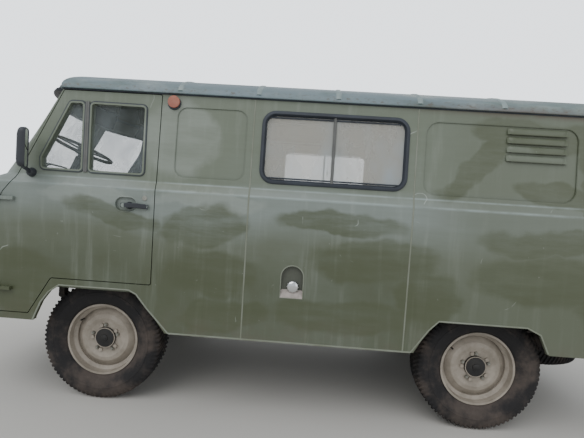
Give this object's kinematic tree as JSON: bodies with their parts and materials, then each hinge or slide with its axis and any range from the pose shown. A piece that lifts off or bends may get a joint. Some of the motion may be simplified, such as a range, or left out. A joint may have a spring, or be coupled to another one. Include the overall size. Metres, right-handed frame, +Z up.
{
  "type": "military ambulance van",
  "caption": "Forward-control four-wheel-drive military ambulance van on a ladder frame, with steering front wheels, cab doors, a side door and rear doors that open.",
  "frame": {"origin": "on the ground under the centre of the bounding box", "axes": "+X forward along the van, +Y to its left, +Z up"},
  "size_m": [4.36, 2.244, 2.0639],
  "materials": {
    "green_paint": "faded satin",
    "inner_paint": "satin",
    "floor_paint": "worn",
    "black_metal": "dusty",
    "bare_steel": "rusty",
    "cast_iron": "rough",
    "wheel_paint": "dusty",
    "tyre": "dusty",
    "black_plastic": "matt",
    "glass": "clear",
    "lamp_glass": "clear",
    "amber_glass": "gloss",
    "red_plastic": "gloss",
    "chrome_cap": "worn",
    "cushion_cloth": "matt"
  },
  "bodies": {
    "van_body": {"amber_lamps": "amber_glass", "bench_cushions": "cushion_cloth", "cab_cushions": "cushion_cloth", "chassis_frame": "black_metal", "dashboard": "inner_paint", "engine": "cast_iron", "engine_cover": "inner_paint", "exhaust": "bare_steel", "filler_caps": "chrome_cap", "floor": "floor_paint", "front_axle": "black_metal", "front_bumper": "black_metal", "front_panel": "green_paint", "fuel_tanks": "black_metal", "gearbox": "cast_iron", "headlamps": "lamp_glass", "leaf_springs": "black_metal", "left_front_panel": "green_paint", "left_middle_panel": "green_paint", "left_rear_panel": "green_paint", "partition": "inner_paint", "propeller_shafts": "bare_steel", "rear_axle": "black_metal", "rear_bumper": "black_metal", "rear_portal": "green_paint", "right_front_panel": "green_paint", "right_rear_panel": "green_paint", "roof": "green_paint", "seat_boxes": "inner_paint", "shock_absorbers": "black_metal", "spare_wheel": "tyre", "steering_column": "black_metal", "tail_lamps": "red_plastic", "ward_benches": "inner_paint", "window_glass": "glass"},
    "cab_door_left": {"cab_door_left": "green_paint", "cab_door_glass_left": "glass", "mirror_left": "black_plastic"},
    "cab_door_right": {"cab_door_right": "green_paint", "cab_door_glass_right": "glass", "mirror_right": "black_plastic"},
    "side_door": {"side_door": "green_paint", "side_door_glass": "glass"},
    "rear_door_left": {"rear_door_left": "green_paint", "rear_door_glass_left": "glass"},
    "rear_door_right": {"rear_door_right": "green_paint", "rear_door_glass_right": "glass"},
    "knuckle_left": {"knuckle_left": "black_metal"},
    "knuckle_right": {"knuckle_right": "black_metal"},
    "tie_rod": {"tie_rod": "black_metal"},
    "steering_wheel": {"steering_wheel": "black_plastic"},
    "wheel_front_left": {"tyre_front_left": "tyre", "rim_front_left": "wheel_paint"},
    "wheel_front_right": {"tyre_front_right": "tyre", "rim_front_right": "wheel_paint"},
    "wheel_rear_left": {"tyre_rear_left": "tyre", "rim_rear_left": "wheel_paint"},
    "wheel_rear_right": {"tyre_rear_right": "tyre", "rim_rear_right": "wheel_paint"}
  },
  "joints": [
    {"name": "cab_door_left_hinge", "type": "hinge", "parent": "van_body", "child": "cab_door_left", "pos_m": [1.7825, 0.983, 0.95], "axis": [0, 0, -1], "range_deg": [0, 72]},
    {"name": "cab_door_right_hinge", "type": "hinge", "parent": "van_body", "child": "cab_door_right", "pos_m": [1.7825, -0.983, 0.95], "axis": [0, 0, 1], "range_deg": [0, 72]},
    {"name": "side_door_hinge", "type": "hinge", "parent": "van_body", "child": "side_door", "pos_m": [0.2895, -0.985, 0.975], "axis": [0, 0, 1], "range_deg": [0, 88]},
    {"name": "rear_door_left_hinge", "type": "hinge", "parent": "van_body", "child": "rear_door_left", "pos_m": [-2.136, 0.6425, 1], "axis": [0, 0, -1], "range_deg": [0, 100]},
    {"name": "rear_door_right_hinge", "type": "hinge", "parent": "van_body", "child": "rear_door_right", "pos_m": [-2.136, -0.6425, 1], "axis": [0, 0, 1], "range_deg": [0, 100]},
    {"name": "steering", "type": "hinge", "parent": "van_body", "child": "steering_wheel", "pos_m": [1.575, 0.43, 1.567], "axis": [-0.4067, 0, 0.9135], "range_deg": [-560, 560]},
    {"name": "knuckle_left_kingpin", "type": "hinge", "parent": "van_body", "child": "knuckle_left", "pos_m": [1.195, 0.6, 0.368], "axis": [0, 0, 1], "range_deg": [-28, 28]},
    {"name": "knuckle_right_kingpin", "type": "hinge", "parent": "van_body", "child": "knuckle_right", "pos_m": [1.195, -0.6, 0.368], "axis": [0, 0, 1], "range_deg": [-28, 28]},
    {"name": "tie_rod_end", "type": "hinge", "parent": "knuckle_left", "child": "tie_rod", "pos_m": [1.005, 0.6, 0.29], "axis": [0, 0, 1], "range_deg": [-28, 28]},
    {"name": "wheel_front_left_spin", "type": "hinge", "parent": "knuckle_left", "child": "wheel_front_left", "pos_m": [1.195, 0.721, 0.368], "axis": [0, 1, 0], "continuous": true},
    {"name": "wheel_front_right_spin", "type": "hinge", "parent": "knuckle_right", "child": "wheel_front_right", "pos_m": [1.195, -0.721, 0.368], "axis": [0, 1, 0], "continuous": true},
    {"name": "wheel_rear_left_spin", "type": "hinge", "parent": "van_body", "child": "wheel_rear_left", "pos_m": [-1.105, 0.721, 0.368], "axis": [0, 1, 0], "continuous": true},
    {"name": "wheel_rear_right_spin", "type": "hinge", "parent": "van_body", "child": "wheel_rear_right", "pos_m": [-1.105, -0.721, 0.368], "axis": [0, 1, 0], "continuous": true}
  ],
  "couplings": [
    {"joint": "knuckle_left_kingpin", "follows": "steering", "ratio": 0.05},
    {"joint": "knuckle_right_kingpin", "follows": "steering", "ratio": 0.05},
    {"joint": "tie_rod_end", "follows": "steering", "ratio": -0.05}
  ]
}
